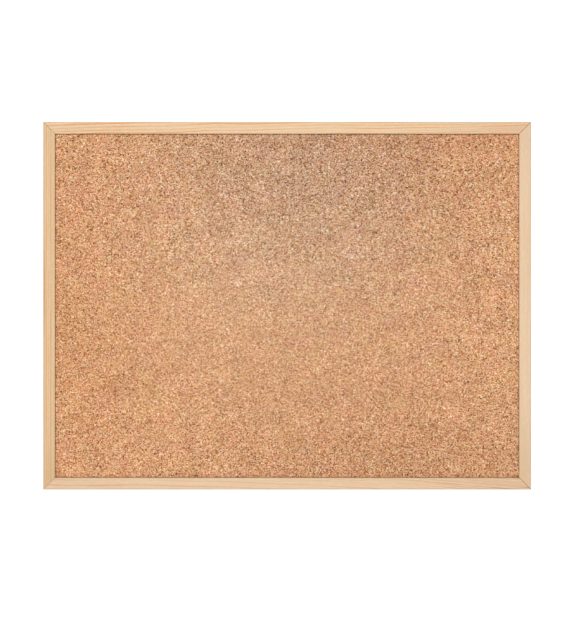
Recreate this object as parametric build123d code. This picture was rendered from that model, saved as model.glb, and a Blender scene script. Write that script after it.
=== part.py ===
from build123d import *

import os
from math import cos, radians, sin

# A cork bulletin board in a mitred pine frame, built piece by piece at its real size.
# X runs to the right and Z up for someone facing the board, and Y points back to the wall.
# The origin is the centre of the cork's front face. All sizes are in millimetres.

# Board outline and frame moulding
BOARD_WIDTH = 600.0
BOARD_HEIGHT = 452.0
FACE_WIDTH = 14.5        # moulding width seen from the front
REBATE_WIDTH = 4.5       # how far the lip covers the panel
LIP_PROUD = 3.0          # lip stands this far in front of the cork
CORK_PRESS = 0.8         # how far the lip squeezes the cork's margin
REAR_RECESS = 3.0        # moulding stands this far behind the backing
OUTER_ROUND = 0.8
INNER_ROUND = 0.5
MITRE_GAP = 0.1          # glue line between two mouldings

# Panel, from the front: cork, softboard core, hardboard backing
CORK_THICK = 2.5
CORE_THICK = 6.0
BACKING_THICK = 2.5
PANEL_PLAY = 0.5         # clearance to the rebate wall on each side
PRESS_STRIP = 1.0        # width of the sunken strip that shows beside the lip
PRESS_BEVEL = 0.5        # bevel where the cork rises out of that strip

# V-shaped corner nails, two stacked in each mitre
NAIL_THICK = 0.6
NAIL_TALL = 6.0
NAIL_INSET = 4.2         # bend of the V, measured inwards from both outer edges
NAIL_LEG = 4.5
NAIL_FLARE = 1.4         # length of the turned-out end of each leg
NAIL_FLARE_DEG = 60.0
NAIL_BEND = 0.5
NAIL_SUNK = 0.3
NAIL_PLAY = 0.03

# Flat points that hold the panel in the rebate
POINT_WIDE = 6.0
POINT_THICK = 0.5
POINT_IN_WOOD = 6.0
POINT_ON_PANEL = 9.0
POINT_PLAY = 0.04
POINTS_PER_RAIL = 4
POINTS_PER_STILE = 3
POINT_PITCH = 140.0

# D-ring hangers, one on each stile
HANGER_INSET = 6.1       # strap centre line from the board's outer edge
HANGER_DROP = 34.0       # ring axis below the board's top edge
STRAP_WIDE = 7.0
STRAP_THICK = 0.8
STRAP_REACH = 17.0       # ring axis to the strap's far end
STRAP_LAYER_GAP = 0.05
STRAP_FOLD_DEG = 40.0
STRAP_FOLD_RADIUS = 1.2
STRAP_END_ROUND = 3.4
WIRE_RADIUS = 0.9
WIRE_PLAY = 0.08
RING_HALF_WIDE = 4.9     # wire centre line
RING_STRAIGHT = 4.6      # ring axis to the centre of the ring's arc
RING_CORNER = 1.2

# Hanger screws
SCREW_DROPS = (5.6, 13.6)  # below the ring axis
SCREW_HEAD_RADIUS = 2.4
SCREW_HEAD_TALL = 1.5
SCREW_LENGTH = 9.5
SCREW_CREST = 1.25
SCREW_ROOT = 0.9
SCREW_PITCH = 1.1
THREAD_START = 0.3       # share of a pitch where the ridge leaves the core
THREAD_CREST = 0.65      # share of a pitch where it is at its widest
SCREW_TIP = 2.2
SCREW_RIM_TALL = 0.5     # straight edge of the head, below its domed top
SCREW_SLOT_WIDE = 0.6
SCREW_SLOT_LONG = 2.7
SCREW_SLOT_DEEP = 0.9
STRAP_HOLE_RADIUS = 1.45
PILOT_PLAY = 0.04

# Soft bumpers that hold the bottom edge off the wall
BUMPER_RADIUS = 4.5
BUMPER_TALL = 3.8
BUMPER_TAPER = 0.6
BUMPER_ROUND = 0.5
BUMPER_FROM_SIDE = 30.0

TOLERANCE = 0.01         # for picking out edges by their position

# Places that follow from the sizes above
FRAME_FRONT = -LIP_PROUD
CORK_BACK = CORK_THICK
CORE_BACK = CORK_BACK + CORE_THICK
BACKING_BACK = CORE_BACK + BACKING_THICK
FRAME_BACK = BACKING_BACK + REAR_RECESS
LAND_WIDTH = FACE_WIDTH - REBATE_WIDTH
OPENING = (BOARD_WIDTH - 2 * FACE_WIDTH, BOARD_HEIGHT - 2 * FACE_WIDTH)
PANEL_GROWTH = 2 * (REBATE_WIDTH - PANEL_PLAY)
PANEL = (OPENING[0] + PANEL_GROWTH, OPENING[1] + PANEL_GROWTH)
LOOP_INNER = WIRE_RADIUS + WIRE_PLAY
LOOP_HEIGHT = STRAP_THICK + LOOP_INNER
STRAP_STACK = 2 * STRAP_THICK + STRAP_LAYER_GAP
HANGER_SPOTS = {
    "left": Pos(HANGER_INSET - BOARD_WIDTH / 2, FRAME_BACK, BOARD_HEIGHT / 2 - HANGER_DROP),
    "right": Pos(BOARD_WIDTH / 2 - HANGER_INSET, FRAME_BACK, BOARD_HEIGHT / 2 - HANGER_DROP),
}
# Each side's own frame: its moulding lies along local X, with the outer edge at local Z 0.
SIDES = {
    "rail_top": (Pos(0, 0, BOARD_HEIGHT / 2), BOARD_WIDTH, POINTS_PER_RAIL),
    "rail_bottom": (Pos(0, 0, -BOARD_HEIGHT / 2) * Rot(0, 180, 0), BOARD_WIDTH, POINTS_PER_RAIL),
    "stile_left": (Pos(-BOARD_WIDTH / 2, 0, 0) * Rot(0, -90, 0), BOARD_HEIGHT, POINTS_PER_STILE),
    "stile_right": (Pos(BOARD_WIDTH / 2, 0, 0) * Rot(0, 90, 0), BOARD_HEIGHT, POINTS_PER_STILE),
}
FACE_BACK = Rot(-90, 0, 0)  # turns a piece built along Z so that Z points to the wall


def slab(outline, front, thick):
    """A flat piece: an outline seen from the front, from depth front to depth front + thick."""
    return extrude(Pos(0, front, 0) * (Plane.XZ * outline), amount=thick, dir=(0, 1, 0))


def board_at(width, height, front, thick):
    return slab(Rectangle(width, height), front, thick)


def in_four_corners(shape):
    """The shape and its mirror images in the board's other three corners."""
    right = [shape, mirror(shape, about=Plane.XY)]
    return right + [mirror(one, about=Plane.YZ) for one in right]


# Frame

def corners_at(section, axis, value):
    return section.vertices().filter_by_position(axis, value - TOLERANCE, value + TOLERANCE)


def moulding_profile():
    """Section of the moulding: local X is depth, local Y is 0 at the outer edge, negative inwards."""
    with BuildSketch() as section:
        with BuildLine():
            Polyline(
                (FRAME_FRONT, 0),
                (FRAME_FRONT, -FACE_WIDTH),
                (CORK_PRESS, -FACE_WIDTH),
                (CORK_PRESS, -LAND_WIDTH),
                (FRAME_BACK, -LAND_WIDTH),
                (FRAME_BACK, 0),
                close=True,
            )
        make_face()
        fillet(corners_at(section, Axis.Y, 0), OUTER_ROUND)
        for depth in (FRAME_FRONT, FRAME_BACK):
            fillet(corners_at(section, Axis.X, depth).sort_by(Axis.Y)[0], INNER_ROUND)
    return section.sketch


def moulding(length):
    """One moulding along local X, with both ends cut at 45 degrees."""
    bar = extrude(Plane.YZ * moulding_profile(), amount=length / 2, both=True)
    half = length / 2 - MITRE_GAP / 2 ** 0.5
    inner = half - FACE_WIDTH
    mitred = Polygon(
        (-half, 0), (half, 0), (inner, -FACE_WIDTH), (-inner, -FACE_WIDTH), align=None
    )
    return bar & slab(mitred, FRAME_FRONT, FRAME_BACK - FRAME_FRONT)


# Corner nails

def corner_nail(front, thick, tall, flare):
    """A V-shaped nail across the upper right mitre, with both ends flared outwards."""
    turn = radians(NAIL_FLARE_DEG)
    across, along = flare * sin(turn), flare * cos(turn)
    inwards = [
        (NAIL_INSET + NAIL_LEG + along, NAIL_INSET - across),
        (NAIL_INSET + NAIL_LEG, NAIL_INSET),
        (NAIL_INSET, NAIL_INSET),
        (NAIL_INSET, NAIL_INSET + NAIL_LEG),
        (NAIL_INSET - across, NAIL_INSET + NAIL_LEG + along),
    ]
    corner = (BOARD_WIDTH / 2, BOARD_HEIGHT / 2)
    path = FilletPolyline(*[(corner[0] - u, corner[1] - v) for u, v in inwards], radius=NAIL_BEND)
    return slab(trace(path, thick), front, tall)


def corner_nails():
    fronts = [FRAME_BACK - NAIL_SUNK - NAIL_TALL]
    fronts.append(fronts[0] - NAIL_TALL - NAIL_PLAY)
    return [
        nail
        for front in fronts
        for nail in in_four_corners(corner_nail(front, NAIL_THICK, NAIL_TALL, NAIL_FLARE))
    ]


def nail_slots():
    """What the corner nails need cut away, open at the back."""
    front = FRAME_BACK - NAIL_SUNK - 2 * NAIL_TALL - 2 * NAIL_PLAY
    slot = corner_nail(front, NAIL_THICK + 2 * NAIL_PLAY, FRAME_BACK - front, NAIL_FLARE + NAIL_PLAY)
    return in_four_corners(slot)


# Panel points

def point_outline():
    """A flat point in a side's own frame: the tip in the wood, the round end over the panel."""
    half = POINT_WIDE / 2
    shank = Polygon(
        (0, POINT_IN_WOOD),
        (-half, POINT_IN_WOOD - half),
        (-half, half - POINT_ON_PANEL),
        (half, half - POINT_ON_PANEL),
        (half, POINT_IN_WOOD - half),
        align=None,
    )
    return Pos(0, -LAND_WIDTH) * (shank + Pos(0, -POINT_ON_PANEL + half) * Circle(half))


def panel_points(play=0.0):
    """All the points round the frame, or with play the slots they sit in."""
    outline = offset(point_outline(), play) if play else point_outline()
    one = slab(outline, BACKING_BACK + POINT_PLAY - play, POINT_THICK + 2 * play)
    placed = []
    for side, _, count in SIDES.values():
        first = -POINT_PITCH * (count - 1) / 2
        placed += [side * Pos(first + POINT_PITCH * n, 0, 0) * one for n in range(count)]
    return placed


# Panel

def cork_sheet():
    """The cork, with its margin squeezed thinner where the lip bears on it."""
    margin = board_at(*PANEL, CORK_PRESS, CORK_THICK - CORK_PRESS)
    field = board_at(OPENING[0] - 2 * PRESS_STRIP, OPENING[1] - 2 * PRESS_STRIP, 0, CORK_THICK)
    rim = field.faces().sort_by(Axis.Y)[0].edges()
    return margin + chamfer(rim, PRESS_BEVEL)


# Hangers

def hanger_strap():
    """A folded strap round the ring's bar: local Z up the stile, local Y out of the wood at 0."""
    lower = STRAP_THICK / 2
    upper = STRAP_STACK - STRAP_THICK / 2
    fold = radians(STRAP_FOLD_DEG)
    under = Line((lower, -STRAP_REACH), (lower, 0))
    loop = JernArc(under @ 1, under % 1, LOOP_INNER + STRAP_THICK / 2, -180 - STRAP_FOLD_DEG)
    drop = ((loop @ 1).X - STRAP_FOLD_RADIUS * (1 - cos(fold)) - upper) / sin(fold)
    ramp = PolarLine(loop @ 1, drop, direction=loop % 1)
    level = JernArc(ramp @ 1, ramp % 1, STRAP_FOLD_RADIUS, STRAP_FOLD_DEG)
    over = Line(level @ 1, (upper, -STRAP_REACH))
    section = trace([under, loop, ramp, level, over], STRAP_THICK)
    strip = extrude(Plane.YZ * section, amount=STRAP_WIDE / 2, both=True)
    end = [edge for edge in strip.edges() if abs(edge.center().Z + STRAP_REACH) < TOLERANCE]
    strap = fillet([edge for edge in end if edge.length < STRAP_WIDE / 2], STRAP_END_ROUND)
    for drop in SCREW_DROPS:
        strap -= Pos(0, 0, -drop) * FACE_BACK * Cylinder(STRAP_HOLE_RADIUS, 4 * STRAP_STACK)
    return strap


def hanger_ring():
    """A D-shaped wire ring standing up from its axis, which is local X at LOOP_HEIGHT off the wood."""
    bar = Line((RING_CORNER - RING_HALF_WIDE, 0), (RING_HALF_WIDE - RING_CORNER, 0))
    right_corner = JernArc(bar @ 1, bar % 1, RING_CORNER, 90)
    right_leg = Line(right_corner @ 1, (RING_HALF_WIDE, RING_STRAIGHT))
    arc = JernArc(right_leg @ 1, right_leg % 1, RING_HALF_WIDE, 180)
    left_leg = Line(arc @ 1, (-RING_HALF_WIDE, RING_CORNER))
    left_corner = JernArc(left_leg @ 1, left_leg % 1, RING_CORNER, 90)
    path = Plane.XZ * Wire([bar, right_corner, right_leg, arc, left_leg, left_corner])
    ring = sweep(Plane.YZ * Circle(WIRE_RADIUS), path=path)
    return Pos(0, LOOP_HEIGHT, 0) * ring


def screw_thread_points():
    """Half section of the shank from under the head to the tip, with a ridge at every pitch."""
    points = [(SCREW_ROOT, 0)]
    depth = 0.0
    while depth + SCREW_PITCH < SCREW_LENGTH - SCREW_TIP:
        points += [
            (SCREW_ROOT, -depth - THREAD_START * SCREW_PITCH),
            (SCREW_CREST, -depth - THREAD_CREST * SCREW_PITCH),
            (SCREW_ROOT, -depth - SCREW_PITCH),
        ]
        depth += SCREW_PITCH
    return points + [(SCREW_ROOT, SCREW_TIP - SCREW_LENGTH), (0, -SCREW_LENGTH)]


def screw():
    """A pan-head wood screw along Z with its head above Z 0."""
    shank = Polyline(*screw_thread_points())
    under = Line((SCREW_ROOT, 0), (SCREW_HEAD_RADIUS, 0))
    rim = Line((SCREW_HEAD_RADIUS, 0), (SCREW_HEAD_RADIUS, SCREW_RIM_TALL))
    crown = TangentArc((0, SCREW_HEAD_TALL), rim @ 1, tangent=(1, 0))
    axis = Line((0, SCREW_HEAD_TALL), (0, -SCREW_LENGTH))
    half = make_face([shank, under, rim, crown, axis])
    body = revolve(Plane.XZ * half, axis=Axis.Z)
    arm = Rectangle(SCREW_SLOT_LONG, SCREW_SLOT_WIDE)
    recess = extrude(Pos(0, 0, SCREW_HEAD_TALL) * (arm + Rot(0, 0, 90) * arm), amount=-SCREW_SLOT_DEEP)
    return body - recess


def pilot_hole():
    """The hole that a screw leaves in the wood."""
    radius = SCREW_CREST + PILOT_PLAY
    return Cylinder(radius, SCREW_LENGTH + PILOT_PLAY, align=(Align.CENTER, Align.CENTER, Align.MAX))


def screw_spots():
    return [
        spot * Pos(0, STRAP_STACK, -drop) * FACE_BACK
        for spot in HANGER_SPOTS.values()
        for drop in SCREW_DROPS
    ]


# Bumpers

def bumper():
    body = Cone(
        BUMPER_RADIUS, BUMPER_RADIUS - BUMPER_TAPER, BUMPER_TALL,
        align=(Align.CENTER, Align.CENTER, Align.MIN),
    )
    return fillet(body.edges().sort_by(Axis.Z)[-1], BUMPER_ROUND)


def wall_bumpers():
    reach = BOARD_WIDTH / 2 - BUMPER_FROM_SIDE
    height = -BOARD_HEIGHT / 2 + LAND_WIDTH / 2
    return [Pos(x, FRAME_BACK, height) * FACE_BACK * bumper() for x in (-reach, reach)]


def frame_pieces():
    """The four mouldings, with every slot and pilot hole cut."""
    cuts = nail_slots() + panel_points(POINT_PLAY)
    cuts += [spot * pilot_hole() for spot in screw_spots()]
    return {name: side * moulding(length) - cuts for name, (side, length, _) in SIDES.items()}


def all_pieces():
    pieces = frame_pieces()
    pieces["cork_sheet"] = cork_sheet()
    pieces["softboard_core"] = board_at(*PANEL, CORK_BACK, CORE_THICK)
    pieces["backing_board"] = board_at(*PANEL, CORE_BACK, BACKING_THICK)
    pieces["corner_nails"] = corner_nails()
    pieces["panel_points"] = panel_points()
    for side, spot in HANGER_SPOTS.items():
        pieces[f"hanger_strap_{side}"] = spot * hanger_strap()
        pieces[f"hanger_ring_{side}"] = spot * hanger_ring()
    pieces["hanger_screws"] = [spot * screw() for spot in screw_spots()]
    pieces["wall_bumpers"] = wall_bumpers()
    return pieces


os.makedirs("parts", exist_ok=True)
for node, shape in all_pieces().items():
    pieces = shape if isinstance(shape, list) else [shape]
    solids = [solid for piece in pieces for solid in piece.solids()]
    export_step(Compound(children=solids), f"parts/{node}.step")
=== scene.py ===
import math
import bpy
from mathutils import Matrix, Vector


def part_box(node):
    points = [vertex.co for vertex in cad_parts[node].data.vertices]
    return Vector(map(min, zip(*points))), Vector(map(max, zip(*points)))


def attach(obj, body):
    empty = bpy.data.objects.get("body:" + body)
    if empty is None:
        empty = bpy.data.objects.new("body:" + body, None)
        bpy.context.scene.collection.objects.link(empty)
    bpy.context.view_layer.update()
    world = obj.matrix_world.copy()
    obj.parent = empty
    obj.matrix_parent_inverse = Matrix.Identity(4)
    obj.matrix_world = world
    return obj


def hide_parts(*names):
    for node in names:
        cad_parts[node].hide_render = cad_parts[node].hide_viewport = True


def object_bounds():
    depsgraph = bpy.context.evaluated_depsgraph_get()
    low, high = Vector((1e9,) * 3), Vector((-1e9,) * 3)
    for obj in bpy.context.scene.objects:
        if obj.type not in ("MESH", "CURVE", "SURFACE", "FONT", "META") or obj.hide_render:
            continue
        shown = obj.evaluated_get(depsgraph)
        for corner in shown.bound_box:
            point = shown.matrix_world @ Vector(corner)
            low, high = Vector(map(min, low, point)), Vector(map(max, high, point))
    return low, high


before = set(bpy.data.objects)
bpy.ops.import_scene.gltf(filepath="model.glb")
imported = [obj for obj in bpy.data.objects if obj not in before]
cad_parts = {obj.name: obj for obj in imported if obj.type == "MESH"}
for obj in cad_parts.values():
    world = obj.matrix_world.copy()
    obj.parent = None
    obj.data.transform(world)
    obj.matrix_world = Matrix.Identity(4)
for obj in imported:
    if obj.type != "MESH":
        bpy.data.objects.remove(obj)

from types import SimpleNamespace

import bpy
import numpy as np
from mathutils import Vector

CAD_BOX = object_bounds()
MM = 0.001

# The frame's inner and outer edges, in metres from the middle of the board
SIGHT_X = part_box("stile_right")[0].x
SIGHT_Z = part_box("rail_top")[0].z
OUTER_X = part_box("stile_right")[1].x
OUTER_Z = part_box("rail_top")[1].z


def linear(value):
    """A 0 to 255 screen value as the linear number that shaders use."""
    value /= 255
    return value / 12.92 if value <= 0.04045 else ((value + 0.055) / 1.055) ** 2.4


def colour(red, green, blue):
    return linear(red), linear(green), linear(blue), 1.0


class Shader:
    """One material's node tree. Each method adds a node and gives back the socket it makes.

    In the functions below, s is the Shader of the material that is being made.
    """

    def __init__(self, name):
        self.material = bpy.data.materials.new(name)
        self.material.use_nodes = True
        self.nodes = self.material.node_tree.nodes
        self.links = self.material.node_tree.links
        self.nodes.clear()

    def add(self, kind, inputs, **settings):
        node = self.nodes.new("ShaderNode" + kind)
        for key, value in settings.items():
            setattr(node, key, value)
        for key, value in inputs.items():
            self.feed(node.inputs[key], value)
        return node

    def feed(self, socket, value):
        if isinstance(value, bpy.types.NodeSocket):
            self.links.new(value, socket)
        else:
            socket.default_value = value

    def place(self):
        """Position on the object in millimetres."""
        found = self.add("TexCoord", {}).outputs["Object"]
        return self.vector("SCALE", found, Scale=1 / MM)

    def painted(self, name):
        """The outputs of a value that the mesh itself carries."""
        return self.add("Attribute", {}, attribute_name=name).outputs

    def vector(self, operation, *values, **named):
        inputs = dict(enumerate(values)) | named
        return self.add("VectorMath", inputs, operation=operation).outputs[0]

    def scale(self, shade, light):
        return self.vector("SCALE", shade, Scale=light)

    def math(self, operation, *values):
        return self.add("Math", dict(enumerate(values)), operation=operation).outputs[0]

    def hypotenuse(self, first, second):
        squares = [self.math("POWER", value, 2.0) for value in (first, second)]
        return self.math("SQRT", self.math("ADD", *squares))

    def split(self, vector):
        return self.add("SeparateXYZ", {0: vector}).outputs

    def join(self, x, y, z):
        return self.add("CombineXYZ", {0: x, 1: y, 2: z}).outputs[0]

    def noise(self, vector, scale=1.0, detail=2.0, roughness=0.5, output="Fac"):
        inputs = {"Vector": vector, "Scale": scale, "Detail": detail, "Roughness": roughness}
        return self.add("TexNoise", inputs).outputs[output]

    def cells(self, vector, size=1.0, feature="F1"):
        inputs = {"Vector": vector, "Scale": 1 / size}
        return self.add("TexVoronoi", inputs, feature=feature).outputs

    def fade(self, value, low, high, start=0.0, end=1.0):
        """Goes smoothly from start to end as value goes from low to high."""
        inputs = {"Value": value, "From Min": low, "From Max": high, "To Min": start, "To Max": end}
        return self.add("MapRange", inputs, interpolation_type="SMOOTHSTEP").outputs[0]

    def mix(self, share, first, second, blend="MIX"):
        node = self.add("Mix", {0: share, 6: first, 7: second}, data_type="RGBA", blend_type=blend)
        return node.outputs[2]

    def tint(self, shade, share, tints):
        """The shade multiplied by a tint that runs from the first of a pair to the second."""
        return self.mix(1.0, shade, self.mix(share, *tints), "MULTIPLY")

    def ramp(self, value, stops):
        node = self.add("ValToRGB", {0: value})
        elements = node.color_ramp.elements
        while len(elements) < len(stops):
            elements.new(1.0)
        for element, (position, shade) in zip(elements, stops):
            element.position = position
            element.color = shade
        return node.outputs[0]

    def wobble(self, vector, size, amount):
        """The position, pushed about by up to amount either way over distances of about size."""
        push = self.noise(vector, 1 / size, 1.0, output="Color")
        drift = self.vector("SUBTRACT", push, (0.5, 0.5, 0.5))
        return self.vector("ADD", vector, self.scale(drift, 2 * amount))

    def bump(self, height, depth):
        """A normal bent by a height that runs from 0 to 1 over depth millimetres."""
        inputs = {"Height": height, "Distance": depth * MM, "Strength": 1.0}
        return self.add("Bump", inputs).outputs[0]

    def finish(self, base, roughness, normal, metallic=0.0, specular=0.5):
        inputs = {
            "Base Color": base,
            "Roughness": roughness,
            "Metallic": metallic,
            "Specular IOR Level": specular,
            "Normal": normal,
        }
        surface = self.add("BsdfPrincipled", inputs).outputs[0]
        self.add("OutputMaterial", {"Surface": surface})
        return self.material


# Cork's material. Sizes are in mm, and a cell's gap and distance are shares of its size.

CORK_GRANULE = 2.1
CORK_CRUMB = 1.05
CORK_FLECK = 1.9
GRANULES_LIE_FLAT = (0.94, 1.0, 1.06)   # they are pressed a little longer than they are high
RAGGED = ((2.2, 0.5), (0.7, 0.18))      # their outlines wander: over how far, and by how much
CRUMBS_APART = (37.0, 11.0, 5.0)        # these keep the layers of cells from lining up
FLECKS_APART = (3.0, 51.0, 23.0)
CORK_PALETTE = (
    (0.00, colour(117, 64, 28)),
    (0.06, colour(158, 96, 51)),
    (0.17, colour(191, 126, 80)),
    (0.38, colour(213, 153, 105)),
    (0.62, colour(224, 170, 124)),
    (0.84, colour(235, 188, 147)),
    (0.95, colour(243, 206, 168)),
    (1.00, colour(249, 221, 186)),
)
CORK_MIDDLE = colour(217, 160, 113)
# painted shade in the sunk seams between granules, and how strong it is
SEAM_SHADE_COLOUR = colour(112, 68, 50)
SEAM_SHADE_STRENGTH = 0.75
BARK_COLOUR = colour(64, 46, 44)
BARK_PICK = (0.94, 0.97)        # the flecks that are dark bark: those picked above this
BARK_CROWDS = 0.05              # how much lower that pick is where they crowd together
CRUMBLY = (0.45, 0.53)          # the noise that picks places where crumbs take over from granules
FINES_ADD_CRUMBS = 0.03         # what is added to that noise in a patch of fines
FINES_EVEN_OUT = 0.22           # how far shades there draw in to the middle one
DRIFT = 0.035                   # repeats per mm of the slow changes of tone
CORK_BUMP = 0.12

# Pairs of tints that a shade is multiplied by, from one to the other
TEMPERATURE = (0.97, 1.0, 1.05, 1.0), (1.03, 1.0, 0.95, 1.0)
BLUSH = (0.98, 1.07, 0.97, 1.0), (1.02, 0.93, 1.03, 1.0)
CORK_GRAIN = (0.91, 0.895, 0.865, 1.0), (1.09, 1.11, 1.145, 1.0)


def shade_sunk_seams(s, where, shade, gap):
    """Painted shade in the seams where the binder has sunk between some of the granules."""
    near = s.fade(gap, 0.02, 0.2, 1.0, 0.0)
    sunk = s.fade(s.noise(where, 0.5, 1.0), 0.48, 0.6, 0.0, SEAM_SHADE_STRENGTH)
    return s.mix(s.math("MULTIPLY", near, sunk), shade, SEAM_SHADE_COLOUR)


def scatter_bark(s, where, shade):
    """Adds small pieces of dark bark, which crowd together in places."""
    fleck = s.cells(s.vector("ADD", where, FLECKS_APART), CORK_FLECK)
    crowded = s.fade(s.noise(where, 0.03, 1.0), 0.35, 0.65, 0.0, BARK_CROWDS)
    crowded = s.math("MULTIPLY_ADD", s.painted("bark")["Fac"], BARK_CROWDS, crowded)
    dark = s.fade(s.math("ADD", s.split(fleck["Color"])[0], crowded), *BARK_PICK)
    inside = s.fade(fleck["Distance"], 0.28, 0.5, 1.0, 0.0)
    return s.mix(s.math("MULTIPLY", dark, inside), shade, BARK_COLOUR)


def drift_of_tone(s, place, shade):
    """Slow changes over the sheet: of temperature, of pinkness, of light, and those painted on the mesh."""
    drift = s.split(s.noise(place, DRIFT, output="Color"))
    for push, tints in ((drift[0], TEMPERATURE), (drift[1], BLUSH)):
        shade = s.tint(shade, s.fade(push, 0.25, 0.75, 0.33, 0.67), tints)
    shade = s.scale(shade, s.fade(drift[2], 0.25, 0.75, 0.93, 1.07))
    return s.mix(1.0, shade, s.painted("tone")["Color"], "MULTIPLY")


def cork_material():
    """Pressed cork granules: each a piece of bark of its own shade, with crumbs and painted shade in the
    seams between.
    """
    s = Shader("cork_granules")
    place = s.place()
    where = s.vector("MULTIPLY", place, GRANULES_LIE_FLAT)
    for size, amount in RAGGED:
        where = s.wobble(where, size, amount)
    granule = s.split(s.cells(where, CORK_GRANULE)["Color"])
    crumb = s.split(s.cells(s.vector("ADD", where, CRUMBS_APART), CORK_CRUMB)["Color"])
    gap = s.cells(where, CORK_GRANULE, "DISTANCE_TO_EDGE")["Distance"]
    fines = s.painted("fines")["Fac"]
    crumbly = s.fade(s.math("MULTIPLY_ADD", fines, FINES_ADD_CRUMBS, s.noise(where, 0.35)), *CRUMBLY)
    shade = s.mix(crumbly, s.ramp(granule[0], CORK_PALETTE), s.ramp(crumb[0], CORK_PALETTE))
    shade = s.tint(s.tint(shade, granule[1], TEMPERATURE), granule[2], BLUSH)
    grain = s.noise(where, 1.6, 3.0, 0.6)
    shade = s.tint(shade, s.fade(grain, 0.3, 0.7), CORK_GRAIN)
    # painted shade in the sunk seams, then flecks of dark bark
    shade = scatter_bark(s, where, shade_sunk_seams(s, where, shade, gap))
    shade = s.mix(s.math("MULTIPLY", fines, FINES_EVEN_OUT), shade, CORK_MIDDLE)
    shade = drift_of_tone(s, place, shade)
    height = s.math("MULTIPLY_ADD", grain, 0.35, s.math("MULTIPLY", granule[2], 0.45))
    height = s.math("ADD", height, s.fade(gap, 0.0, 0.2, 0.0, 0.35))
    roughness = s.fade(grain, 0.2, 0.8, 0.95, 0.8)
    return s.finish(shade, roughness, s.bump(height, CORK_BUMP), specular=0.2)


# Cork's mesh

CORK_GRID = 1.62 * MM
PRESSED_WIDTH = 0.5 * MM        # the cork dips over this width as it goes under the lip
PRESSED_DEPTH = 0.8 * MM
DIP_LINES = (0.0, 0.15, 0.3, 0.5, 1.0)  # mm in from the lip, where the grid has a line of its own
RELIEF = 0.14 * MM
RELIEF_SEED = 7

# Where the cork's tone drifts: the middle of a patch and how far it reaches, as shares of the half
# width and half height, and how much it adds to red, green and blue
TONE_PATCHES = (
    ((0.05, 0.65), (0.7, 1.0), (-0.25, -0.18, -0.04)),      # greyed, high in the middle
    ((-0.1, 0.3), (0.65, 0.5), (0.10, 0.16, 0.20)),         # paler, in the middle
    ((0.5, -0.95), (0.6, 0.4), (-0.11, -0.13, -0.14)),      # darker, low on the right
    ((-1.0, 0.0), (0.4, 1.3), (-0.05, -0.10, -0.15)),       # warmer, down the left side
    ((0.8, 1.2), (0.4, 0.5), (-0.07, -0.14, -0.19)),        # warmer, in the upper right corner
)
# Patches of the same kind where the granules are finer and more even, and where more of them are dark
PAINTED_PATCHES = {
    "fines": (((-0.05, -0.2), (0.75, 0.6)),),
    "bark": (((0.2, 0.7), (0.6, 0.45)), ((0.35, -0.95), (0.6, 0.4))),
}
HIDDEN_STRIP = 0.01             # the share of the map's height that each hidden side gets
STRIP_FILLED = 0.8              # how much of its strip it fills, which leaves a gap before the next


def grid_lines(sight, edge):
    """Grid positions across the cork: coarse under the lip, closer where it dips, then even."""
    dip = [sight - line * MM for line in DIP_LINES]
    inner = dip[-1]
    even = np.linspace(-inner, inner, round(2 * inner / CORK_GRID) + 1)
    border = np.array([edge] + dip[:-1])
    return np.concatenate([-border, even, border[::-1]])


def cork_depth(x, z, front):
    """How far back the cork's face is: rough where it shows, dipping at the lip and flat under it."""
    inside = np.minimum(SIGHT_X - np.abs(x), SIGHT_Z - np.abs(z))
    pressed = 1 - np.clip(inside / PRESSED_WIDTH, 0, 1)
    rough = np.random.default_rng(RELIEF_SEED).uniform(-1, 1, x.shape)
    rough = (rough + np.roll(rough, 1, 0) + np.roll(rough, 1, 1)) / 2
    relief = RELIEF * (1 + rough.clip(-1, 1)) / 2
    return front + PRESSED_DEPTH * pressed ** 2 * (3 - 2 * pressed) + np.where(inside > 0, relief, 0)


def patch(u, v, middle, reach):
    """A soft patch: 1 at its middle and fading out over its reach; u and v run from -1 to 1."""
    return np.exp(-((u - middle[0]) / reach[0]) ** 2 - ((v - middle[1]) / reach[1]) ** 2)


def paint_cork(mesh, points):
    """Gives each point of the cork its tone and its shares of fines and bark."""
    u, v = points[:, 0] / SIGHT_X, points[:, 2] / SIGHT_Z
    tone = np.ones((len(points), 4))
    for middle, reach, added in TONE_PATCHES:
        tone[:, :3] += patch(u, v, middle, reach)[:, None] * added
    mesh.color_attributes.new("tone", "FLOAT_COLOR", "POINT").data.foreach_set("color", tone.ravel())
    for name, patches in PAINTED_PATCHES.items():
        strength = sum(patch(u, v, *one) for one in patches)
        mesh.attributes.new(name, "FLOAT", "POINT").data.foreach_set("value", strength)


def map_for_export(mesh, share, quads, hidden):
    """The UV map named OFBake: most of it for the face, and a strip for each hidden side.

    share is each point's place in the sheet's box, from 0 to 1.
    """
    above = len(hidden) * HIDDEN_STRIP
    places = [share[quads][..., [0, 2]].reshape(-1, 2) * (1, 1 - above) + (0, above)]
    for number, (side, along, across) in enumerate(hidden):
        strip = share[side][:, [along, across]] * (1, STRIP_FILLED * HIDDEN_STRIP)
        places.append(strip + (0, number * HIDDEN_STRIP))
    mesh.uv_layers.new(name="OFBake").data.foreach_set("uv", np.concatenate(places).ravel())


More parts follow.
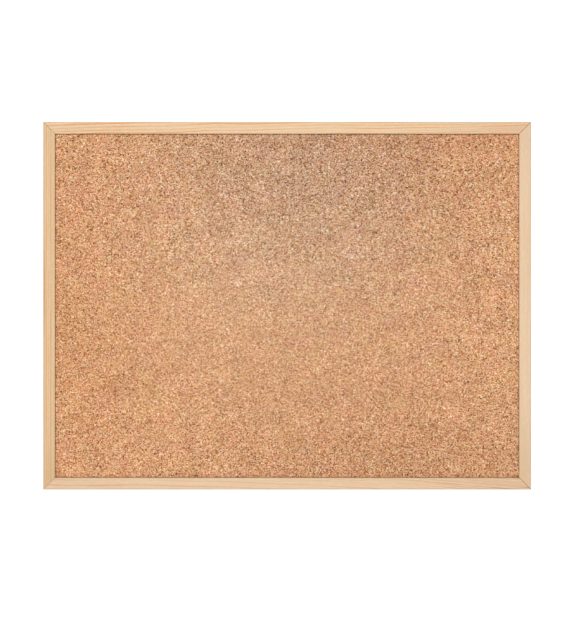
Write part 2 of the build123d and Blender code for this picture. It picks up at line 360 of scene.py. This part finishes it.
def cork_mesh():
    """The cork sheet as one closed mesh: a fine grid for its face, then four sides and a back."""
    low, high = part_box("cork_sheet")
    x, z = np.meshgrid(grid_lines(SIGHT_X, high.x), grid_lines(SIGHT_Z, high.z), indexing="ij")
    face = np.stack([x, cork_depth(x, z, low.y), z], -1).reshape(-1, 3)
    back_corners = (low.x, low.z), (high.x, low.z), (high.x, high.z), (low.x, high.z)
    points = np.vstack([face, [(across, high.y, up) for across, up in back_corners]])
    index = np.arange(len(face)).reshape(x.shape)
    quads = np.stack([index[:-1, :-1], index[1:, :-1], index[1:, 1:], index[:-1, 1:]], -1).reshape(-1, 4)
    low_left, low_right, high_right, high_left = range(len(face), len(points))
    # Each side with the two axes that it is laid out along in the map: 0, 1 and 2 for x, y and z
    hidden = (
        ([*index[::-1, 0].tolist(), low_left, low_right], 0, 1),
        ([*index[-1, ::-1].tolist(), low_right, high_right], 2, 1),
        ([*index[:, -1].tolist(), high_right, high_left], 0, 1),
        ([*index[0, :].tolist(), high_left, low_left], 2, 1),
        ([high_left, high_right, low_right, low_left], 0, 2),
    )
    mesh = bpy.data.meshes.new("cork_face")
    mesh.from_pydata(points.tolist(), [], [*quads.tolist(), *[side for side, _, _ in hidden]])
    mesh.validate()
    mesh.polygons.foreach_set("use_smooth", [True] * len(quads) + [False] * len(hidden))
    paint_cork(mesh, points)
    map_for_export(mesh, (points - low) / (high - low), quads, hidden)
    return mesh


def cork_piece():
    mesh = cork_mesh()
    mesh.materials.append(cork_material())
    piece = bpy.data.objects.new("cork_face", mesh)
    bpy.context.scene.collection.objects.link(piece)
    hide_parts("cork_sheet")
    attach(piece, "board")


# Pine. Sizes are in mm.

FRONT = CAD_BOX[0].y / MM
FACE_WIDTH = (OUTER_X - SIGHT_X) / MM
GLUE_LINE = 0.4                 # how far the dark line of a mitre reaches each way
CLOSE_JOINTS = 0.4, 0.7         # how much of it the two left joints show, bottom and top
ARRIS_WEAR = 0.5, 1.8           # handling darkens the front outer edge this far round it
PINE_BUMP = 0.035
PINE_STREAK = (0.98, 0.965, 0.93, 1.0), (1.02, 1.035, 1.07, 1.0)
PINE_CLOUD = (1.01, 0.97, 0.95, 1.0), (0.99, 1.03, 1.05, 1.0)
RESIN_COLOUR = colour(168, 116, 74)
HANDLED_COLOUR = colour(196, 152, 108)
# painted shade where the lip meets the cork
LIP_SHADE_COLOUR = colour(128, 104, 76)
GLUE_COLOUR = colour(104, 76, 54)

# How often marks that run with the grain repeat per mm, along it and across it
FIBRE = 0.16, 2.2
STREAKS = 0.006, 0.5
CLOUDS = 0.025, 0.08
CANALS = 0.12, 1.6


def pine_place(s, node):
    """Where a point is on a moulding: along it, across it and into it, and from its edges."""
    low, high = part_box(node)
    middle = (low + high) / 2 / MM
    x, y, z = s.split(s.place())
    from_side = s.math("SUBTRACT", OUTER_X / MM, s.math("ABSOLUTE", x))
    from_end = s.math("SUBTRACT", OUTER_Z / MM, s.math("ABSOLUTE", z))
    at = SimpleNamespace(x=x, z=z, depth=y)
    if node.startswith("stile"):
        at.length, at.half, at.from_edge = z, OUTER_Z / MM, from_side
        at.across = s.math("SUBTRACT", x, middle.x)
    else:
        at.length, at.half, at.from_edge = x, OUTER_X / MM, from_end
        at.across = s.math("SUBTRACT", z, middle.z)
    at.off_middle = s.math("ABSOLUTE", at.length)
    at.off_mitre = s.math("ABSOLUTE", s.math("SUBTRACT", from_side, from_end))
    at.from_front = s.math("SUBTRACT", y, FRONT)
    return at


def stretched(s, at, repeats):
    """Coordinates for marks that run with the grain."""
    along, aside = repeats
    sides = [s.math("MULTIPLY", value, aside) for value in (at.across, at.depth)]
    return s.join(s.math("MULTIPLY", at.length, along), *sides)


def ring_count(s, at, look):
    """How many rings a point is from the pith, which is a line off to one side of the moulding."""
    pith_across, pith_behind = look["pith"]
    slow = s.join(s.math("MULTIPLY", at.length, 0.007), s.math("MULTIPLY", at.across, 0.02), pith_across)
    drift = s.split(s.noise(slow, detail=1.0, output="Color"))
    swing = [s.math("MULTIPLY_ADD", one, 2 * look["wander"], -look["wander"]) for one in drift[:2]]
    slant = s.math("MULTIPLY_ADD", at.length, look["bow"], look["slope"])
    lean = s.math("MULTIPLY_ADD", at.length, slant, pith_across)
    aside = s.math("ADD", s.math("SUBTRACT", at.across, lean), swing[0])
    in_front = s.math("ADD", s.math("SUBTRACT", at.depth, pith_behind), swing[1])
    radius = s.hypotenuse(aside, in_front)
    uneven = s.noise(s.join(s.math("MULTIPLY", radius, 0.25), pith_across, 0.0), detail=1.0)
    return s.math("MULTIPLY_ADD", uneven, 2.0, s.math("DIVIDE", radius, look["spacing"]))


def summer_wood(s, at, look):
    """How far into its dark summer wood each point of the timber is, from 0 to 1."""
    rings = ring_count(s, at, look)
    number = s.math("FLOOR", rings)
    season = s.math("FRACT", rings)
    summer = s.math("MULTIPLY", s.fade(season, 0.42, 0.86), s.fade(season, 0.93, 1.0, 1.0, 0.0))
    year = s.add("TexWhiteNoise", {"W": number}, noise_dimensions="1D").outputs["Value"]
    come_and_go = s.join(s.math("MULTIPLY", at.length, 0.012), s.math("MULTIPLY", number, 3.7), 0.0)
    faint = s.fade(s.noise(come_and_go), 0.35, 0.6, 0.4, 1.0)
    strength = s.math("MULTIPLY", s.fade(year, 0.0, 1.0, 0.4, 1.0), faint)
    start, between, end = look["clear"]
    clear = s.fade(at.length, -0.8 * at.half, -0.3 * at.half, start, between)
    clear = s.fade(at.length, 0.3 * at.half, 0.8 * at.half, clear, end)
    return s.math("MULTIPLY", s.math("MULTIPLY", summer, strength), clear)


def stain(s, at, shade, place, reach, tint, strength):
    """A long soft-edged stain in the wood; place and reach are along and across the piece."""
    offsets = [
        s.math("DIVIDE", s.math("SUBTRACT", value, middle), size)
        for value, middle, size in zip((at.length, at.across), place, reach)
    ]
    return s.mix(s.fade(s.hypotenuse(*offsets), 0.2, 1.0, strength, 0.0), shade, colour(*tint))


def resin_canals(s, at):
    """Short dashes with the grain, each from 0 to 1."""
    canal = s.cells(stretched(s, at, CANALS))
    core = s.fade(canal["Distance"], 0.05, 0.16, 1.0, 0.0)
    return s.math("MULTIPLY", core, s.fade(s.split(canal["Color"])[0], 0.8, 0.9))


def handled_edge(s, at, cloud):
    """How far handling has darkened and polished the front outer edge."""
    arris = s.hypotenuse(at.from_edge, at.from_front)
    return s.math("MULTIPLY", s.fade(arris, *ARRIS_WEAR, 0.5, 0.0), s.fade(cloud, 0.4, 0.6, 0.3, 1.0))


def paint_lip_shade(s, at, reach, shade):
    """Painted shade along the lip's inner edge and down its inner face, where it meets the cork."""
    lip = s.math("SUBTRACT", FACE_WIDTH, at.from_edge)
    lip_shade = s.math("MULTIPLY", s.fade(lip, 0.0, reach, 0.7, 0.0), s.fade(at.from_front, 0.0, 1.0, 0.5, 1.0))
    return s.mix(lip_shade, shade, LIP_SHADE_COLOUR)


def glued_mitre(s, at, shade):
    """The dark glue line of the joint at each end."""
    left = s.fade(at.z, -1.0, 1.0, *CLOSE_JOINTS)
    showing = s.fade(at.x, -1.0, 1.0, left, 1.0)
    return s.mix(s.fade(at.off_mitre, 0.1, GLUE_LINE * 2 ** 0.5, showing, 0.0), shade, GLUE_COLOUR)


def pine_material(node, look):
    """Planed pine: growth rings, fibre, resin canals, a dark glue line at each mitre and handled edges."""
    s = Shader("pine_" + node)
    at = pine_place(s, node)
    summer = summer_wood(s, at, look)
    fibre = s.noise(stretched(s, at, FIBRE), 1.0, 3.0, 0.6)
    streak = s.noise(stretched(s, at, STREAKS))
    cloud = s.noise(stretched(s, at, CLOUDS))
    shade = s.mix(summer, colour(*look["pale"]), colour(*look["late"]))
    shade = s.tint(s.tint(shade, s.fade(streak, 0.3, 0.7), PINE_STREAK), cloud, PINE_CLOUD)
    dark_ends = s.fade(at.off_middle, 0.5 * at.half, at.half, 1.0, 0.96)
    shade = s.scale(shade, s.math("MULTIPLY", s.fade(fibre, 0.25, 0.75, 0.9, 1.06), dark_ends))
    for one in look["stains"]:
        shade = stain(s, at, shade, **one)
    canals = resin_canals(s, at)
    shade = s.mix(s.math("MULTIPLY", canals, 0.35), shade, RESIN_COLOUR)
    handled = handled_edge(s, at, cloud)
    shade = s.mix(handled, shade, HANDLED_COLOUR)
    # painted shade along the lip where it meets the cork, then the glue line at each mitre
    shade = glued_mitre(s, at, paint_lip_shade(s, at, look["lip_shade"], shade))
    height = s.math("MULTIPLY_ADD", summer, 0.4, s.math("MULTIPLY", fibre, 0.6))
    height = s.math("MULTIPLY_ADD", canals, -0.4, height)
    roughness = s.math("MULTIPLY_ADD", handled, -0.2, s.fade(fibre, 0.2, 0.8, 0.62, 0.5))
    return s.finish(shade, roughness, s.bump(height, PINE_BUMP), specular=0.35)


# The four mouldings come from different lengths of timber, so each has its own grain. pith is the
# place of the pith line across the face and behind it, slope its slant along the piece and bow how
# that slant grows, spacing the width of a ring, wander how far the rings stray, clear how clearly
# they show at the start of the piece, in its middle and at its end. A further entry says how far
# from the cork the lip carries painted shade.
PINE_LOOKS = {
    "rail_top": dict(
        pith=(26.0, 26.0), slope=0.022, bow=0.0, spacing=2.4, wander=3.0, clear=(1.15, 0.8, 1.05),
        pale=(221, 189, 152), late=(208, 140, 74), lip_shade=0.9,
        stains=[dict(place=(290, 0), reach=(110, 10), tint=(210, 160, 128), strength=0.25)],
    ),
    "rail_bottom": dict(
        pith=(-24.0, 26.0), slope=-0.045, bow=-0.0001, spacing=2.0, wander=2.0, clear=(0.5, 0.35, 1.15),
        pale=(221, 189, 154), late=(184, 122, 80), lip_shade=1.6,
        stains=[dict(place=(275, 0), reach=(100, 11), tint=(204, 162, 132), strength=0.12)],
    ),
    "stile_left": dict(
        pith=(50.0, 8.0), slope=0.0, bow=0.0, spacing=2.9, wander=0.8, clear=(1.0, 1.0, 1.0),
        pale=(215, 182, 142), late=(200, 144, 88), lip_shade=0.9,
        stains=[
            dict(place=(20, -5.9), reach=(80, 1.7), tint=(196, 128, 60), strength=0.8),
            dict(place=(0, -7.2), reach=(330, 6.0), tint=(204, 156, 106), strength=0.35),
            dict(place=(-222, 0), reach=(70, 11.0), tint=(196, 160, 116), strength=0.35),
        ],
    ),
    "stile_right": dict(
        pith=(2.0, 42.0), slope=0.0, bow=0.0, spacing=2.2, wander=1.2, clear=(0.55, 0.55, 0.55),
        pale=(220, 189, 155), late=(212, 180, 146), lip_shade=0.9,
        stains=[dict(place=(-215, 0), reach=(110, 12), tint=(200, 168, 130), strength=0.4)],
    ),
}


def dress(node, material):
    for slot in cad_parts[node].material_slots:
        slot.material = material


# Board layers behind the cork

SOFTBOARD_PALETTE = (
    (0.25, colour(128, 98, 68)),
    (0.5, colour(168, 134, 98)),
    (0.75, colour(198, 168, 130)),
)
SOFTBOARD_FLECK = colour(96, 70, 48)
HARDBOARD_PALETTE = (
    (0.25, colour(82, 54, 36)),
    (0.5, colour(116, 80, 54)),
    (0.8, colour(152, 112, 78)),
)
SCREEN_PITCH = 1.8      # mm between the wires of the screen that hardboard is pressed on


def softboard_material():
    """Pressed wood fibre: matted strands with lighter and darker flecks."""
    s = Shader("softboard_fibre")
    where = s.wobble(s.place(), 3.0, 1.0)
    strands = s.noise(s.vector("MULTIPLY", where, (0.5, 2.5, 1.2)), 1.0, 4.0, 0.65)
    fleck = s.cells(s.vector("MULTIPLY", where, (0.4, 1.4, 1.0)))
    picked = s.fade(s.split(fleck["Color"])[0], 0.9, 0.95, 0.0, 0.6)
    shade = s.mix(picked, s.ramp(strands, SOFTBOARD_PALETTE), SOFTBOARD_FLECK)
    return s.finish(shade, 0.95, s.bump(strands, 0.25), specular=0.1)


def hardboard_material():
    """Dark pressed fibre whose back carries the print of the wire screen it was pressed on."""
    s = Shader("hardboard_screen_back")
    place = s.place()
    x, _, z = s.split(s.wobble(place, 40.0, 0.6))
    waves = [s.math("SINE", s.math("MULTIPLY", axis, math.pi / SCREEN_PITCH)) for axis in (x, z)]
    screen_print = s.math("MULTIPLY", *[s.math("ABSOLUTE", wave) for wave in waves])
    fibre = s.noise(s.wobble(place, 2.0, 1.5), 0.9, 5.0, 0.7)
    blotch = s.noise(place, 0.012, 3.0)
    shade = s.ramp(fibre, HARDBOARD_PALETTE)
    shade = s.scale(shade, s.fade(blotch, 0.3, 0.7, 0.95, 1.05))
    shade = s.scale(shade, s.fade(screen_print, 0.0, 0.7, 0.78, 1.05))
    height = s.math("ADD", s.math("MULTIPLY", screen_print, 0.7), s.math("MULTIPLY", fibre, 0.3))
    return s.finish(shade, s.fade(fibre, 0.2, 0.8, 0.85, 0.7), s.bump(height, 0.2), specular=0.25)


# Hardware

ZINC = colour(196, 198, 202)
DULLED = colour(150, 140, 120)
RUBBER = colour(34, 33, 33)
RUBBER_CHALK = colour(78, 76, 74)

# How often the fine drawing lines of a metal repeat along x, y and z, per mm
LINES_ACROSS = (0.6, 8.0, 8.0)
LINES_UP = (8.0, 8.0, 0.6)
LINES_IN = (2.0, 8.0, 2.0)
LINES_EVEN = (3.0, 3.0, 3.0)


def zinc_material(name, lines, tint=ZINC, wear=0.3):
    """Zinc plate over steel, patchy and stained in places, with fine drawing lines."""
    s = Shader(name)
    place = s.place()
    drawn = s.noise(s.vector("MULTIPLY", place, lines), 1.0, 3.0, 0.6)
    spangle = s.noise(s.wobble(place, 1.5, 0.8), 0.5, 3.0, 0.6)
    stained = s.noise(place, 1.8, 4.0, 0.65)
    shade = s.scale(tint[:3], s.fade(spangle, 0.3, 0.7, 0.85, 1.08))
    shade = s.mix(s.fade(stained, 0.58, 0.75, 0.0, wear), shade, DULLED)
    roughness = s.math("ADD", s.fade(spangle, 0.3, 0.7, 0.26, 0.4), s.fade(stained, 0.55, 0.75, 0.0, 0.2))
    return s.finish(shade, roughness, s.bump(drawn, 0.012), metallic=1.0)


def rubber_material():
    """Moulded black rubber, a little chalky, with the fine pitting of its mould."""
    s = Shader("bumper_rubber")
    place = s.place()
    pits = s.noise(place, 3.5, 3.0, 0.6)
    chalk = s.noise(s.wobble(place, 2.0, 1.0), 0.7, 4.0, 0.65)
    shade = s.mix(s.fade(chalk, 0.45, 0.8, 0.0, 0.5), RUBBER, RUBBER_CHALK)
    return s.finish(shade, s.fade(chalk, 0.3, 0.8, 0.6, 0.85), s.bump(pits, 0.05), specular=0.4)


def dress_hardware():
    dress("corner_nails", zinc_material("nail_steel", LINES_ACROSS, colour(168, 168, 168), 0.5))
    dress("panel_points", zinc_material("point_steel", LINES_ACROSS, colour(186, 188, 192), 0.4))
    for side in ("left", "right"):
        dress(f"hanger_strap_{side}", zinc_material(f"strap_zinc_{side}", LINES_UP))
        dress(f"hanger_ring_{side}", zinc_material(f"ring_zinc_{side}", LINES_EVEN))
    dress("hanger_screws", zinc_material("screw_zinc", LINES_IN, colour(204, 200, 190)))
    dress("wall_bumpers", rubber_material())


# Studio, in metres

VIEW_HEIGHT = 0.775               # how much of the world the picture's height shows at the frame's front
VIEW_CENTRE = (-0.0026, -0.0114)  # x and z that the picture is centred on
CAMERA_DISTANCE = 6.0
CAMERA_CLIP = 0.1, 40.0
SENSOR = 36.0                     # mm
FLOOR_Z = -0.62
FLOOR_NEAR, FLOOR_FAR, FLOOR_SIDE = -14.0, 3.0, 9.0
FLOOR_FADE = (1.2, 2.9)
FLOOR_COLOUR = colour(240, 239, 237)
WHITE = (1.0, 1.0, 1.0, 1.0)
BACKDROP_GLOW = 1.05              # what the camera sees past the board
WORLD_FILL = 0.52                 # what falls on the board from all round
SOFT_LIGHTS = {
    "key": dict(place=(-1.0, -4.8, 1.9), size=2.2, watts=150.0),
    "back": dict(place=(1.6, 2.6, 1.7), size=1.8, watts=60.0),
}


def make_camera():
    """A long lens square-on to the board."""
    data = bpy.data.cameras.new("camera")
    data.sensor_width = SENSOR
    data.lens = SENSOR * CAMERA_DISTANCE / VIEW_HEIGHT
    data.clip_start, data.clip_end = CAMERA_CLIP
    camera = bpy.data.objects.new("camera", data)
    camera.location = (VIEW_CENTRE[0], CAD_BOX[0].y - CAMERA_DISTANCE, VIEW_CENTRE[1])
    camera.rotation_euler = (math.radians(90), 0, 0)
    bpy.context.scene.collection.objects.link(camera)
    bpy.context.scene.camera = camera


def floor_material():
    """Pale matt floor that fades into the white surroundings, as a studio's swept backdrop does."""
    s = Shader("studio_floor")
    x, y, _ = s.split(s.add("TexCoord", {}).outputs["Object"])
    matt = s.add("BsdfPrincipled", {"Base Color": FLOOR_COLOUR, "Roughness": 0.8}).outputs[0]
    glow = s.add("Emission", {"Color": WHITE}).outputs[0]
    far = s.fade(s.hypotenuse(x, y), *FLOOR_FADE)
    surface = s.add("MixShader", {0: far, 1: matt, 2: glow}).outputs[0]
    s.add("OutputMaterial", {"Surface": surface})
    return s.material


def make_floor():
    mesh = bpy.data.meshes.new("floor")
    corners = [
        (-FLOOR_SIDE, FLOOR_NEAR, 0), (FLOOR_SIDE, FLOOR_NEAR, 0),
        (FLOOR_SIDE, FLOOR_FAR, 0), (-FLOOR_SIDE, FLOOR_FAR, 0),
    ]
    mesh.from_pydata(corners, [], [(0, 1, 2, 3)])
    mesh.materials.append(floor_material())
    floor = bpy.data.objects.new("floor", mesh)
    floor.location.z = FLOOR_Z
    bpy.context.scene.collection.objects.link(floor)


def soft_light(name, place, size, watts):
    """A square light that faces the board and doesn't show in the picture."""
    data = bpy.data.lights.new(name, "AREA")
    data.size = size
    data.energy = watts
    light = bpy.data.objects.new(name, data)
    light.location = place
    light.rotation_euler = (-Vector(place)).to_track_quat("-Z", "Y").to_euler()
    light.visible_camera = False
    bpy.context.scene.collection.objects.link(light)


def make_surroundings():
    """A white room of even light. The camera sees it as pure white; what lights the board is dimmer."""
    world = bpy.data.worlds.new("studio")
    world.use_nodes = True
    tree = world.node_tree
    tree.nodes.clear()
    path = tree.nodes.new("ShaderNodeLightPath")
    seen = tree.nodes.new("ShaderNodeBackground")
    fill = tree.nodes.new("ShaderNodeBackground")
    mix = tree.nodes.new("ShaderNodeMixShader")
    out = tree.nodes.new("ShaderNodeOutputWorld")
    for background, strength in ((seen, BACKDROP_GLOW), (fill, WORLD_FILL)):
        background.inputs["Color"].default_value = WHITE
        background.inputs["Strength"].default_value = strength
    tree.links.new(path.outputs["Is Camera Ray"], mix.inputs[0])
    tree.links.new(fill.outputs[0], mix.inputs[1])
    tree.links.new(seen.outputs[0], mix.inputs[2])
    tree.links.new(mix.outputs[0], out.inputs["Surface"])
    bpy.context.scene.world = world
    bpy.context.scene.view_settings.view_transform = "Standard"


def make_studio():
    make_surroundings()
    make_floor()
    for name, light in SOFT_LIGHTS.items():
        soft_light(name, **light)
    make_camera()


cork_piece()
for node, look in PINE_LOOKS.items():
    dress(node, pine_material(node, look))
dress("softboard_core", softboard_material())
dress("backing_board", hardboard_material())
dress_hardware()
make_studio()
